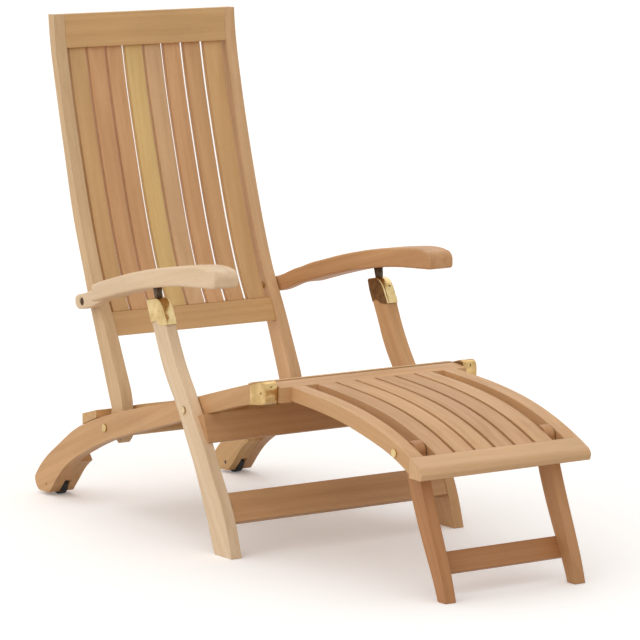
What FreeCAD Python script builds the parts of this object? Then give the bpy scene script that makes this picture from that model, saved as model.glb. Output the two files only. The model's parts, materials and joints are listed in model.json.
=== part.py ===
import FreeCAD, Part
import os
import Sketcher
from FreeCAD import Vector

# A folding steamer deck chair in teak with brass fittings and two small wheels.
# Millimetres. +Z is up, +Y points to the back rest, -X is the sitter's right.
# The origin is on the floor, under the middle of the chair's outline.
# Nearly every piece is a board sawn to a curved outline, so an outline is drawn
# in the side view (Y, Z) and given its thickness across the chair (X).
# Pieces of the right side are modelled in place and the left ones are mirrored.

# Driving dimensions: name, millimetres. A name in _x is a distance from the middle plane.
SIZES = [
    ("arm_outer_x", 288.0),
    ("arm_inner_x", 229.0),
    ("arm_tongue_thick", 24.0),
    ("leg_outer_x", 281.0),
    ("leg_thick", 23.5),
    ("rail_outer_x", 255.0),
    ("rail_thick", 25.0),
    ("stile_outer_x", 224.0),
    ("stile_thick", 26.0),
    ("cheek_inner_x", 196.0),
    ("wheel_slot", 16.0),
    ("wheel_radius", 24.0),
    ("wheel_width", 13.0),
    ("foot_stile_outer_x", 198.0),
    ("foot_stile_thick", 32.0),
    ("foot_rail_end_x", 222.0),
    ("foot_leg_outer_x", 164.0),
    ("foot_leg_thick", 24.0),
    ("foot_leg_crown", 19.0),
    ("back_slat_width", 38.5),
    ("seat_slat_width", 39.0),
    ("foot_slat_width", 39.5),
    ("foot_slat_pitch", 46.7),
    ("brass_thick", 2.0),
    ("pin_radius", 4.0),
    ("post_width", 14.0),
    ("groove_width", 20.0),
    ("rail_housing", 12.5),
    ("axle_cover", 10.0),
    ("stub_radius", 5.0),
    ("stub_length", 26.0),
    ("stub_socket", 19.0),
    ("running_gap", 0.05),
    ("side_gap", 0.4),
    ("bolt_head_radius", 8.0),
    ("bolt_head_height", 3.0),
    ("pivot_rail_radius", 22.0),
    ("bolt_grip", 30.0),
    ("counterbore", 6.0),
]

ARC_TOLERANCE = 0.4
BACK_SLAT_DEPTH = 13.0
SEAT_SLAT_DEPTH = 13.0
FOOT_SLAT_DEPTH = 14.0
EDGE_SLAT_DEPTH = 26.0
BACK_SLATS = 8
SEAT_SLATS = 8
FOOT_SLATS = 6

# Pivots in the side view.
BACK_PIVOT = (390.0, 181.0)
ARM_PIVOT = (486.0, 432.0)
LEG_PIVOT = (43.0, 271.0)
KNEE_PIVOT = (-191.0, 332.0)
FOOT_LEG_PIVOT = (-563.0, 270.0)
WHEEL_AXLE = (633.0, 24.0)

# Edges that several pieces share.
KNEE_END = -199.0
CAP_BACK = -157.0
ARM_SHOULDER = 388.0
BACK_FRONT = [(457, 412), (480, 455), (500, 500), (536, 598), (566, 695), (595, 795), (616, 880), (630, 946)]
SEAT_TOP = [(-112, 341), (33, 301), (150, 271), (266, 246.5), (345, 231), (425, 213)]
FOOT_TOP = [(-216, 346), (-315, 339), (-400, 329), (-466, 317), (-516, 304), (-560, 289), (-610, 268)]
CROSS_RAIL = [(-12, 269.4), (12, 262.4), (-8, 209), (-32, 216)]
ARM_UNDER = [(26, 519.5), (96, 511.5), (145, 503.5), (172, 499)]

doc = FreeCAD.newDocument("SteamerChair")
sheet = doc.addObject("Spreadsheet::Sheet", "Sizes")
subparts = []


def fill_sheet():
    for row, (alias, value) in enumerate(SIZES, start=1):
        sheet.set(f"A{row}", alias)
        sheet.set(f"B{row}", str(value))
        sheet.setAlias(f"B{row}", alias)
    doc.recompute()


def size(alias):
    return float(sheet.get(alias))


def flat(point):
    return Vector(point[0], point[1], 0)


def piece_geometry(points):
    """Two points make a line, three an arc through the middle one, more a smooth run of arcs."""
    if len(points) == 2:
        return [Part.LineSegment(flat(points[0]), flat(points[1]))]
    if len(points) == 3:
        return [Part.Arc(flat(points[0]), flat(points[1]), flat(points[2]))]
    curve = Part.BSplineCurve()
    curve.interpolate([flat(point) for point in points])
    return curve.toBiArcs(ARC_TOLERANCE)


def draw_outline(sketch, pieces):
    """Draws pieces end to end, with straight lines over any step between them."""
    last = pieces[-1][-1]
    for points in pieces:
        if last != points[0]:
            sketch.addGeometry(Part.LineSegment(flat(last), flat(points[0])), False)
        for geometry in piece_geometry(points):
            sketch.addGeometry(geometry, False)
        last = points[-1]


def polygon(points):
    """A closed outline of straight lines."""
    return [[start, end] for start, end in zip(points, points[1:] + points[:1])]


def moved(points, along, up=0.0):
    return [(y + along, z + up) for y, z in points]


def backwards(points):
    return list(reversed(points))


def new_body(name):
    body = doc.addObject("PartDesign::Body", name)
    body.Label = name
    return body


def origin_plane(body, role):
    for feature in body.Origin.OriginFeatures:
        if feature.Role == role:
            return feature
    raise ValueError(role)


def new_sketch(body, name, offset=0.0, role="YZ_Plane"):
    sketch = body.newObject("Sketcher::SketchObject", f"{body.Name}_{name}_{len(body.Group)}")
    sketch.AttachmentSupport = [(origin_plane(body, role), "")]
    sketch.MapMode = "FlatFace"
    sketch.AttachmentOffset = FreeCAD.Placement(Vector(0, 0, offset), FreeCAD.Rotation())
    return sketch


def set_size(feature, name, value):
    """Binds a property to the sheet, or sets a plain number."""
    if isinstance(value, str):
        feature.setExpression(name, value)
    else:
        setattr(feature, name, value)


def pad(body, pieces, thickness, offset=0.0):
    """Gives an outline its thickness across the chair, towards +X."""
    sketch = new_sketch(body, "outline", offset)
    draw_outline(sketch, pieces)
    feature = body.newObject("PartDesign::Pad", f"{sketch.Name}_pad")
    feature.Profile = sketch
    set_size(feature, "Length", thickness)
    return feature


def cut(body, sketch, depth=None):
    """Pockets a sketch towards +X, for a depth or else through everything."""
    doc.recompute()
    before = body.Shape.Volume
    feature = body.newObject("PartDesign::Pocket", f"{sketch.Name}_cut")
    feature.Profile = sketch
    feature.Reversed = True
    if depth is None:
        feature.Type = "ThroughAll"
    else:
        set_size(feature, "Length", depth)
    doc.recompute()
    if body.Shape.Volume > before - 1.0:
        raise ValueError(f"{feature.Name} removes nothing")
    return feature


def recess(body, pieces, depth=None, offset=0.0):
    sketch = new_sketch(body, "recess", offset)
    draw_outline(sketch, pieces)
    return cut(body, sketch, depth)


def drill(body, places, radius, depth=None, offset=0.0):
    """Round holes across the chair, their radius bound to the sheet."""
    sketch = new_sketch(body, "hole", offset)
    for place in places:
        circle = sketch.addGeometry(Part.Circle(flat(place), Vector(0, 0, 1), size("pin_radius")), False)
        sketch.addConstraint(Sketcher.Constraint("DistanceX", -1, 1, circle, 3, place[0]))
        sketch.addConstraint(Sketcher.Constraint("DistanceY", -1, 1, circle, 3, place[1]))
        rule = sketch.addConstraint(Sketcher.Constraint("Radius", circle, size("pin_radius")))
        sketch.setExpression(f"Constraints[{rule}]", radius)
    return cut(body, sketch, depth)


def turned(body, profile, place):
    """Revolves (along X, radius) points about an axis across the chair through a place."""
    sketch = new_sketch(body, "profile", role="XY_Plane")
    draw_outline(sketch, polygon(profile))
    feature = body.newObject("PartDesign::Revolution", f"{sketch.Name}_turn")
    feature.Profile = sketch
    feature.ReferenceAxis = (sketch, ["H_Axis"])
    feature.Angle = 360.0
    body.Placement.Base = Vector(0, place[0], place[1])
    return feature


def start_at(body, expression):
    """Places a body across the chair by the sheet."""
    body.setExpression(".Placement.Base.x", expression)


def keep(feature, name=None):
    """Adds a sub-part to the chair. Its Label names its file."""
    feature.Label = name or feature.Label
    subparts.append(feature)
    return feature


def mirrored(source, name):
    """The left copy of a right piece."""
    copy = doc.addObject("Part::Mirroring", name)
    copy.Source = source
    copy.Base = Vector(0, 0, 0)
    copy.Normal = Vector(1, 0, 0)
    copy.Label = name
    return copy


def keep_pair(body, name):
    """Keeps a right piece and its mirror image as two sub-parts."""
    keep(body, f"{name}_right")
    keep(mirrored(body, f"{name}_left"))


def keep_both_sides(body, name):
    """Keeps a right fastener and its mirror image as one sub-part of two solids."""
    body.Label = f"{name}_right_solid"
    pair = doc.addObject("Part::Compound", name)
    pair.Links = [body, mirrored(body, f"{name}_left_solid")]
    keep(pair, name)


def crossing(name, pieces, half_width):
    """A rail that runs across the whole chair, as far to each side."""
    body = new_body(name)
    pad(body, pieces, f"2 * {half_width}")
    start_at(body, f"-1 * {half_width}")
    return keep(body)


def slat(name, pieces, width, middle):
    """A thin board that runs along the chair."""
    body = new_body(name)
    pad(body, pieces, f"Sizes.{width}")
    start_at(body, f"{middle} - Sizes.{width} / 2")
    return keep(body)


def strip(top, thickness):
    """The side view of a curved slat of a given depth under a top line."""
    return [top, moved(backwards(top), 0.0, -thickness)]


def side_rail():
    """Seat rail and rear leg in one curved board, thinned at the knee for its brass cap."""
    top = [(KNEE_END, 359), (-60, 323), (90, 282), (240, 246), (370, 212), (450, 186), (520, 156),
           (585, 115), (645, 73), (681, 34)]
    foot = [(681, 34), (674, 14), (652, 6)]
    under = [(622, 7), (608, 22), (574, 58), (532, 88), (468, 120), (391, 152), (297, 181), (200, 209),
             (97, 238), (-60, 284), (-150, 307), (KNEE_END, 316)]
    body = new_body("side_rail_right")
    pad(body, [top, foot, under], "Sizes.rail_thick")
    knee = polygon([(KNEE_END - 5, 290), (CAP_BACK, 290), (CAP_BACK, 370), (KNEE_END - 5, 370)])
    recess(body, knee, "Sizes.brass_thick")
    recess(body, knee, "Sizes.brass_thick", size("rail_thick") - size("brass_thick"))
    recess(body, polygon([(KNEE_END - 5, 359.82), (CAP_BACK, 347), (CAP_BACK, 375), (KNEE_END - 5, 375)]))
    drill(body, [BACK_PIVOT, LEG_PIVOT], "Sizes.pin_radius + Sizes.running_gap")
    blind = "Sizes.rail_thick - Sizes.axle_cover"
    drill(body, [WHEEL_AXLE], "Sizes.pin_radius + Sizes.running_gap", blind, size("axle_cover"))
    start_at(body, "-1 * Sizes.rail_outer_x")
    keep_pair(body, "side_rail")


def wheel_cheek():
    """The block inside each rear foot, slotted from below for the wheel."""
    outline = [
        [(540, 84), (572, 120)],
        [(572, 120), (585, 113), (620, 89), (645, 71), (681, 34)],
        [(681, 34), (674, 14), (652, 6)],
        [(622, 7), (608, 22), (574, 58), (540, 84)],
    ]
    slot = polygon([(567, 3), (649, 90), (722, 22), (640, -65)])
    body = new_body("wheel_cheek_right")
    inner = "Sizes.rail_outer_x - Sizes.rail_thick"
    pad(body, outline, f"{inner} - Sizes.cheek_inner_x")
    recess(body, slot, "Sizes.wheel_slot")
    drill(body, [WHEEL_AXLE], "Sizes.pin_radius + Sizes.running_gap")
    start_at(body, f"-1 * ({inner})")
    keep_pair(body, "wheel_cheek")


def knee_cap():
    """Cast brass cap on the knee: two cheeks, a top, a face plate and the stub that carries the footrest."""
    thick = size("brass_thick")
    rail = size("rail_thick")
    side = polygon([(CAP_BACK, 349), (KNEE_END, 360.5), (KNEE_END, 314), (CAP_BACK, 308.5)])
    top = polygon([(CAP_BACK, 349), (KNEE_END - thick, 361), (KNEE_END - thick, 359), (CAP_BACK, 347)])
    face = [
        [(KNEE_END, 314), (KNEE_END, 360.5)],
        [(KNEE_END, 360.5), (KNEE_END - thick, 361)],
        [(KNEE_END - thick, 361), (KNEE_END - thick, 314)],
    ]
    body = new_body("knee_cap_right")
    pad(body, side, "Sizes.brass_thick")
    pad(body, top, "Sizes.rail_thick")
    pad(body, side, "Sizes.brass_thick", rail - thick)
    pad(body, face, "Sizes.rail_outer_x - Sizes.foot_rail_end_x - Sizes.side_gap")
    stub = new_sketch(body, "stub", rail - thick)
    stub.addGeometry(Part.Circle(flat(KNEE_PIVOT), Vector(0, 0, 1), size("stub_radius")), False)
    rod = body.newObject("PartDesign::Pad", "knee_cap_stub")
    rod.Profile = stub
    set_size(rod, "Length", "Sizes.stub_length")
    start_at(body, "-1 * Sizes.rail_outer_x")
    keep_pair(body, "knee_cap")


def seat_frame():
    """Front and rear rails of the seat, with the slats let in between them."""
    front = [
        [(-156, 350), (-134, 347.5), (-112, 341)],
        [(-112, 341), (-112, 313)],
        [(-156, 322), (-156, 350)],
    ]
    crossing("seat_front_rail", front, "(Sizes.rail_outer_x - Sizes.rail_thick)")
    rear = polygon([(425, 213), (425, 196.8), (452, 186.8), (481, 175.4), (481, 198)])
    crossing("seat_rear_rail", rear, "Sizes.rail_outer_x")
    pitch = (2 * (size("stile_outer_x") - size("stile_thick")) - 8) / SEAT_SLATS
    for number in range(SEAT_SLATS):
        middle = (number - (SEAT_SLATS - 1) / 2) * pitch
        slat(f"seat_slat_{number + 1}", strip(SEAT_TOP, SEAT_SLAT_DEPTH), "seat_slat_width", middle)


def back_stile():
    """Back upright: slim above the arm, deeper below it, and rounded at the foot round its pivot."""
    rear = [(414, 216), (433, 262), (461, 331), (495, 413), (530, 506), (562, 593), (590, 695), (617, 800),
            (637, 880), (653, 955), (661, 1016)]
    front = [(638, 1016), (631, 952), (616, 880), (595, 795), (566, 695), (536, 598), (500, 500),
             (480, 455), (456, 412), (427, 357), (400, 300), (380, 258), (371, 216)]
    foot = [(371, 216), (368, 170), (388, 146)]
    heel = [(388, 146), (408, 168), (414, 216)]
    body = new_body("back_stile_right")
    pad(body, [rear, front, foot, heel], "Sizes.stile_thick")
    drill(body, [BACK_PIVOT, ARM_PIVOT], "Sizes.pin_radius + Sizes.running_gap")
    start_at(body, "-1 * Sizes.stile_outer_x")
    keep_pair(body, "back_stile")


def back_frame():
    """Three rails between the stiles, and curved slats set back from their faces."""
    inside = "(Sizes.stile_outer_x - Sizes.stile_thick)"
    crossing("back_top_rail", polygon([(630.5, 946), (638, 1016), (658, 1016), (650.5, 946)]), inside)
    crossing("back_lower_rail", polygon([(434, 362), (456, 408), (478, 408), (456, 362)]), inside)
    face = moved([(455, 408)] + BACK_FRONT[1:], 7.0)
    rear = moved(backwards(face), BACK_SLAT_DEPTH)
    pitch = 2 * (size("stile_outer_x") - size("stile_thick")) / BACK_SLATS - 1.1
    for number in range(BACK_SLATS):
        middle = (number - (BACK_SLATS - 1) / 2) * pitch
        slat(f"back_slat_{number + 1}", [face, rear], "back_slat_width", middle)


def back_pivot_rail():
    """Round rail on the pivot line. Two bolts are screwed into its ends, and the stiles turn on them."""
    rail = new_body("back_pivot_rail")
    inside = "(Sizes.stile_outer_x - Sizes.stile_thick)"
    sketch = new_sketch(rail, "round")
    sketch.addGeometry(Part.Circle(flat(BACK_PIVOT), Vector(0, 0, 1), size("pivot_rail_radius")), False)
    rod = rail.newObject("PartDesign::Pad", "back_pivot_rail_pad")
    rod.Profile = sketch
    set_size(rod, "Length", f"2 * {inside} - 2 * Sizes.side_gap")
    length = 2 * (size("stile_outer_x") - size("stile_thick") - size("side_gap"))
    hole = "Sizes.pin_radius + Sizes.running_gap"
    drill(rail, [BACK_PIVOT], hole, "Sizes.bolt_grip")
    drill(rail, [BACK_PIVOT], hole, "Sizes.bolt_grip", length - size("bolt_grip"))
    start_at(rail, f"-1 * ({inside} - Sizes.side_gap)")
    keep(rail)


def arm():
    """Crowned arm board: wide and drooping at the front, cut back to a tongue that carries the bolt."""
    top = [(ARM_SHOULDER, 481), (350, 493.5), (310, 504), (260, 517.5), (190, 533.5), (118, 547.5), (54, 557),
           (3, 563), (-33, 565), (-60, 562)]
    nose = [
        [(-60, 562), (-74, 557), (-80, 547)],
        [(-80, 547), (-80, 533)],
        [(-80, 533), (-78, 527.5), (-72, 526)],
    ]
    under = [(-72, 526), (-33, 523.5)] + ARM_UNDER + [(225, 488), (312, 466.5), (ARM_SHOULDER, 446)]
    tongue_top = [(500, 446), (482, 450), (435, 465.5), (ARM_SHOULDER, 481)]
    tongue_end = [(496, 415.5), (512, 430), (500, 446)]
    tongue_under = [(ARM_SHOULDER, 446), (420, 435.5), (446, 426), (496, 415.5)]
    wide = [top] + nose + [under]
    whole = [tongue_end, tongue_top, top] + nose + [under, tongue_under]
    groove_top = moved(ARM_UNDER, 0.0, 9.0)
    groove = [groove_top, [(172, 480), (26, 480)]]
    leg_middle = size("arm_outer_x") - size("leg_outer_x") + size("leg_thick") / 2
    body = new_body("arm_right")
    wide_thick = size("arm_outer_x") - size("arm_inner_x")
    pad(body, wide, "Sizes.arm_outer_x - Sizes.arm_inner_x")
    pad(body, whole, "Sizes.arm_tongue_thick", wide_thick - size("arm_tongue_thick"))
    recess(body, groove, "Sizes.groove_width", leg_middle - size("groove_width") / 2)
    drill(body, [ARM_PIVOT], "Sizes.pin_radius + Sizes.running_gap")
    tongue_face = wide_thick - size("arm_tongue_thick")
    drill(body, [ARM_PIVOT], "Sizes.bolt_head_radius + 1", "Sizes.counterbore", tongue_face)
    start_at(body, "-1 * Sizes.arm_outer_x")
    keep_pair(body, "arm")


def front_leg():
    """Curved front leg, wider towards the floor, with a rounded head inside the brass cap."""
    rear = [(-70, 0), (-60, 20), (-46, 57), (-26, 101), (0, 157), (32, 212), (62, 264), (88, 301),
            (114, 338), (140, 389), (160, 430)]
    head = [[(160, 430), (178, 475)], [(178, 475), (146, 481)], [(146, 481), (132, 477), (123, 467)],
            [(123, 467), (115, 452)], [(115, 452), (108, 433)]]
    front = [(108, 433), (87, 388), (58, 339), (32, 303), (3, 257), (-34, 202), (-59, 158), (-88, 111),
             (-110, 65), (-124, 25), (-131, 0)]
    body = new_body("front_leg_right")
    pad(body, [rear] + head + [front], "Sizes.leg_thick")
    outer_part = size("leg_thick") - size("rail_housing")
    recess(body, polygon(CROSS_RAIL), "Sizes.rail_housing", outer_part)
    drill(body, [LEG_PIVOT], "Sizes.pin_radius + Sizes.running_gap")
    start_at(body, "-1 * Sizes.leg_outer_x")
    keep_pair(body, "front_leg")


def leg_cap():
    """Cast brass cap on the head of the front leg, its cheeks swept down to a notched edge."""
    thick = size("brass_thick")
    across = size("leg_thick") + 2 * thick
    cheek = [
        [(178, 477), (172, 455), (158, 431)],
        [(158, 431), (155, 430)],
        [(155, 430), (146, 439), (139, 428.5)],
        [(139, 428.5), (111, 433)],
        [(111, 433), (118, 452)],
        [(118, 452), (128, 470), (146, 483)],
        [(146, 483), (178, 477)],
    ]
    face = [
        [(108, 433), (115, 452)],
        [(115, 452), (123, 467)],
        [(123, 467), (132, 477), (146, 481)],
        [(146, 481), (178, 475)],
        [(178, 475), (178, 477)],
        [(178, 477), (146, 483)],
        [(146, 483), (130.5, 478.5), (121, 468)],
        [(121, 468), (112.5, 452)],
        [(112.5, 452), (110, 446)],
        [(110, 446), (108.5, 446.5)],
        [(108.5, 446.5), (104, 434)],
        [(104, 434), (108, 433)],
    ]
    body = new_body("leg_cap_right")
    pad(body, cheek, "Sizes.brass_thick")
    pad(body, face, across)
    pad(body, cheek, "Sizes.brass_thick", across - thick)
    start_at(body, "-1 * (Sizes.leg_outer_x + Sizes.brass_thick)")
    keep_pair(body, "leg_cap")


def leg_frame():
    """Upper cross rail, housed in the legs, and the stretcher between them."""
    half_width = "(Sizes.leg_outer_x - Sizes.leg_thick + Sizes.rail_housing)"
    crossing("upper_cross_rail", polygon(CROSS_RAIL), half_width)
    stretcher = polygon([(-82, 122), (-108, 68), (-88.5, 58.5), (-62.5, 112.5)])
    crossing("lower_stretcher", stretcher, "(Sizes.leg_outer_x - Sizes.leg_thick)")


def arm_posts():
    """The upright lug on each leg cap, with an eased top for the groove under the arm."""
    post = [
        [(146, 483.3), (170, 478.8)],
        [(170, 478.8), (170, 500)],
        [(170, 500), (158, 507), (146, 503)],
        [(146, 503), (146, 483.3)],
    ]
    body = new_body("arm_post_right")
    pad(body, post, "Sizes.post_width")
    start_at(body, "-1 * (Sizes.leg_outer_x - Sizes.leg_thick / 2 + Sizes.post_width / 2)")
    keep_both_sides(body, "arm_posts")


def footrest_stile():
    """Side of the footrest, bowed down to the nose rail."""
    under = [(-610, 237), (-581, 251), (-532, 269), (-467, 286), (-400, 300), (-316, 311), (-216, 319)]
    body = new_body("footrest_stile_right")
    pad(body, [FOOT_TOP, under], "Sizes.foot_stile_thick")
    drill(body, [FOOT_LEG_PIVOT], "Sizes.pin_radius + Sizes.running_gap")
    start_at(body, "-1 * Sizes.foot_stile_outer_x")
    keep_pair(body, "footrest_stile")


def footrest_frame():
    """Rear rail on the knee pivots, rounded nose rail, and curved slats between them.
    The two outer slats are as deep as the stiles they lie against."""
    rear = [[(-216, 346), (-192, 350), (-168, 350)], [(-168, 350), (-168, 318)], [(-168, 318), (-216, 316)]]
    rail = new_body("footrest_rear_rail")
    pad(rail, rear, "2 * Sizes.foot_rail_end_x")
    socket = "Sizes.stub_radius + Sizes.running_gap"
    drill(rail, [KNEE_PIVOT], socket, "Sizes.stub_socket")
    drill(rail, [KNEE_PIVOT], socket, "Sizes.stub_socket", 2 * size("foot_rail_end_x") - size("stub_socket"))
    start_at(rail, "-1 * Sizes.foot_rail_end_x")
    keep(rail)
    nose = [
        [(-610, 268), (-624, 261.7), (-637, 255)],
        [(-637, 255), (-647, 248.5), (-651, 240)],
        [(-651, 240), (-648.5, 232)],
        [(-648.5, 232), (-646.5, 229.7), (-643, 229)],
        [(-643, 229), (-610, 230)],
    ]
    crossing("footrest_nose_rail", nose, "Sizes.foot_stile_outer_x")
    for number in range(FOOT_SLATS):
        middle = (number - (FOOT_SLATS - 1) / 2) * size("foot_slat_pitch")
        depth = EDGE_SLAT_DEPTH if number in (0, FOOT_SLATS - 1) else FOOT_SLAT_DEPTH
        slat(f"footrest_slat_{number + 1}", strip(FOOT_TOP, depth), "foot_slat_width", middle)


def footrest_legs():
    """Tapered legs with round tops, folding up into the gaps beside the slats, and their cross bar."""
    pivot_y, pivot_z = FOOT_LEG_PIVOT
    reach = size("foot_leg_crown")
    crown = [(pivot_y - reach, pivot_z - 4), (pivot_y, pivot_z + reach), (pivot_y + reach, pivot_z - 4)]
    rear = [(pivot_y + reach, pivot_z - 4), (-556, 225), (-573, 178), (-611, 95), (-641, 35), (-656, 0)]
    front = [(-681, 0), (-669, 40), (-648, 95), (-614, 176), (-597, 222), (pivot_y - reach, pivot_z - 4)]
    body = new_body("footrest_leg_right")
    pad(body, [crown, rear, front], "Sizes.foot_leg_thick")
    drill(body, [FOOT_LEG_PIVOT], "Sizes.pin_radius + Sizes.running_gap")
    start_at(body, "-1 * Sizes.foot_leg_outer_x")
    keep_pair(body, "footrest_leg")
    crossing("footrest_leg_bar", polygon([(-616.5, 83), (-635.5, 46), (-622, 39), (-603, 76)]),
             "Sizes.foot_leg_outer_x")


def bolt_profile(start, end, collars, nut=True):
    """Half section of a bolt: head, shank and nut, with collars as (from, to) along it."""
    shank = size("pin_radius")
    head = size("bolt_head_radius")
    height = size("bolt_head_height")
    profile = [(start - height, 0), (start - height, head), (start, head), (start, shank)]
    for low, high in collars:
        profile += [(low, shank), (low, head + 2), (high, head + 2), (high, shank)]
    if nut:
        return profile + [(end, shank), (end, head - 1), (end + 4, head - 1), (end + 4, 0)]
    return profile + [(end, shank), (end, 0)]


def bolts():
    """Pivot bolts, each pair one sub-part."""
    gap = size("side_gap")
    rail_in = size("rail_outer_x") - size("rail_thick")
    stile_in = size("stile_outer_x") - size("stile_thick")
    leg_in = size("leg_outer_x") - size("leg_thick")
    rail_out = size("rail_outer_x")
    stile_out = size("stile_outer_x")
    arm_in = size("arm_inner_x")
    tongue_out = arm_in + size("arm_tongue_thick")
    foot_in = size("foot_leg_outer_x") - size("foot_leg_thick")
    specs = [
        ("back_bolts", BACK_PIVOT, -rail_out - gap, -stile_in + size("bolt_grip") - 1,
         [(-rail_in + gap, -stile_out - gap)]),
        ("arm_bolts", ARM_PIVOT, -tongue_out + size("counterbore") - gap, -stile_in + gap, []),
        ("leg_bolts", LEG_PIVOT, -size("leg_outer_x") - gap, -rail_in + gap, [(-leg_in + gap, -rail_out)]),
        ("footrest_leg_bolts", FOOT_LEG_PIVOT, -size("foot_stile_outer_x"), -foot_in - 1, []),
    ]
    for name, place, start, end, collars in specs:
        body = new_body(f"{name}_solid")
        nut = name not in ("back_bolts", "footrest_leg_bolts")
        turned(body, bolt_profile(start, end, collars, nut), place)
        keep_both_sides(body, name)


def wheel_axles():
    """Plain steel pins, driven from the inner side through the cheek and the wheel into the rail."""
    start = -size("rail_outer_x") + size("axle_cover")
    end = -size("cheek_inner_x")
    radius = size("pin_radius")
    body = new_body("wheel_axle_solid")
    turned(body, [(start, 0), (start, radius), (end, radius), (end, 0)], WHEEL_AXLE)
    keep_both_sides(body, "wheel_axles")


def arm_washers():
    """Brass spacers between the stiles and the arm tongues."""
    gap = size("side_gap")
    low = -size("arm_inner_x") + gap
    high = -size("stile_outer_x") - gap
    hole = size("pin_radius") + size("running_gap")
    body = new_body("arm_washer_solid")
    turned(body, [(low, hole), (low, 11), (high, 11), (high, hole)], ARM_PIVOT)
    keep_both_sides(body, "arm_washers")


def wheel():
    """Solid black wheel, running on the axle inside the slotted foot."""
    middle = -(size("rail_outer_x") - size("rail_thick") - size("wheel_slot") / 2)
    half = size("wheel_width") / 2
    radius = size("wheel_radius")
    hole = size("pin_radius") + size("running_gap")
    body = new_body("wheel_right")
    profile = [(middle - half, hole), (middle - half, radius), (middle + half, radius), (middle + half, hole)]
    turned(body, profile, WHEEL_AXLE)
    keep_pair(body, "wheel")


def check_and_write():
    """Stops on any failed object or bad shape, then writes each sub-part to its own file."""
    doc.recompute()
    bad = [item.Label for item in doc.Objects if "Invalid" in item.State or "Error" in item.State]
    for item in subparts:
        if item.Shape.isNull() or not item.Shape.isValid():
            bad.append(item.Label)
    if bad:
        raise ValueError(f"failed: {bad}")
    os.makedirs("parts", exist_ok=True)
    for item in subparts:
        item.Shape.exportStep(f"parts/{item.Label}.step")
    box = subparts[0].Shape.BoundBox
    for item in subparts:
        box.add(item.Shape.BoundBox)
    print(len(subparts), "sub-parts")
    print("X", round(box.XMin, 1), round(box.XMax, 1))
    print("Y", round(box.YMin, 1), round(box.YMax, 1))
    print("Z", round(box.ZMin, 1), round(box.ZMax, 1))


fill_sheet()
side_rail()
wheel_cheek()
knee_cap()
seat_frame()
back_stile()
back_frame()
back_pivot_rail()
arm()
front_leg()
leg_cap()
leg_frame()
arm_posts()
footrest_stile()
footrest_frame()
footrest_legs()
bolts()
wheel_axles()
arm_washers()
wheel()
check_and_write()
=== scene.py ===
# %% [markdown]
# A folding steamer deck chair
#
# The chair is made of teak boards sawn to curved outlines, joined by round bolts, with cast
# brass caps where wood meets metal. Its boards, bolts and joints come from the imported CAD
# model. This script gives them their finish, rounds what a maker rounds by hand, adds the
# screws, and sets the floor, the light and the camera.
# A material could be one flat colour, but bare sanded teak is lively: every board comes from
# another tree, so each one gets its own tone and its own place in the grain.

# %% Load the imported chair
import json
import math

import bmesh
import bpy
from mathutils import Matrix, Vector


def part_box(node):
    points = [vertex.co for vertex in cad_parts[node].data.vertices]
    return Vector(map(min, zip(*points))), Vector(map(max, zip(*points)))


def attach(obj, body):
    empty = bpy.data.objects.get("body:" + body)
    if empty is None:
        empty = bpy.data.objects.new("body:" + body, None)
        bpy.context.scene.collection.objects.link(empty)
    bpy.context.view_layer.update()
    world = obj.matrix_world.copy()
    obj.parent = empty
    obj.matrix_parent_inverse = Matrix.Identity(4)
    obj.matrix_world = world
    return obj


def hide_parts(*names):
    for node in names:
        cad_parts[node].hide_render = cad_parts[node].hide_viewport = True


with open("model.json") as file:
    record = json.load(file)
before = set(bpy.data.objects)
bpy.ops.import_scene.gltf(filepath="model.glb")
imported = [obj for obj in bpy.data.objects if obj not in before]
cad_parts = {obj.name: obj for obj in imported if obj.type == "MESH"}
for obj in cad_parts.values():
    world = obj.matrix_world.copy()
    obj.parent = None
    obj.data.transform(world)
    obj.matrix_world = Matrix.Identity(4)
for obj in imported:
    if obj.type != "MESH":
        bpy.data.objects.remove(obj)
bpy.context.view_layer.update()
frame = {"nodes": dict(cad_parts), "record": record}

nodes = frame["nodes"]

# %% [markdown]
# The camera
#
# A chair in a catalogue is photographed from far away with a long lens, which keeps its
# sides nearly parallel. The place and the angles below were worked out from the chair's own
# long edges. A camera object looks along its own -Z, so its axes are built one by one: right,
# up, and back.

# %% Camera
CAMERA_PLACE = Vector((-4.2426, -6.2773, 1.5754))
CAMERA_YAW = math.radians(34.152)
CAMERA_PITCH = math.radians(-8.571)
CAMERA_ROLL = math.radians(0.087)
LENS = 214.9
SENSOR_WIDTH = 36.0
SIGHT = 200.0


def aimed_matrix(place, yaw, pitch, roll=0.0):
    """A camera or lamp matrix that looks from +Y towards +X by yaw, and up by pitch."""
    level = math.cos(pitch)
    forward = Vector((math.sin(yaw) * level, math.cos(yaw) * level, math.sin(pitch)))
    right = Vector((math.cos(yaw), -math.sin(yaw), 0.0))
    up = right.cross(forward)
    turn = Matrix((right, up, -forward)).transposed().to_4x4()
    return Matrix.Translation(place) @ turn @ Matrix.Rotation(roll, 4, "Z")


camera_data = bpy.data.cameras.new("studio_camera")
camera_data.lens = LENS
camera_data.sensor_width = SENSOR_WIDTH
camera_data.clip_end = SIGHT
camera = bpy.data.objects.new("studio_camera", camera_data)
camera.matrix_world = aimed_matrix(CAMERA_PLACE, CAMERA_YAW, CAMERA_PITCH, CAMERA_ROLL)
bpy.context.scene.collection.objects.link(camera)
bpy.context.scene.camera = camera
print("camera", tuple(round(value, 3) for value in camera.location))

# %% [markdown]
# Colours and nodes
#
# Wood colours are easiest to choose as the hex values of a paint program. Blender's shaders
# work in linear light, so one function turns a hex value into linear numbers. A second small
# function adds any node with its settings and its links, so that a material below reads as a
# list of what it does.

# %% Helpers for materials


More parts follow.
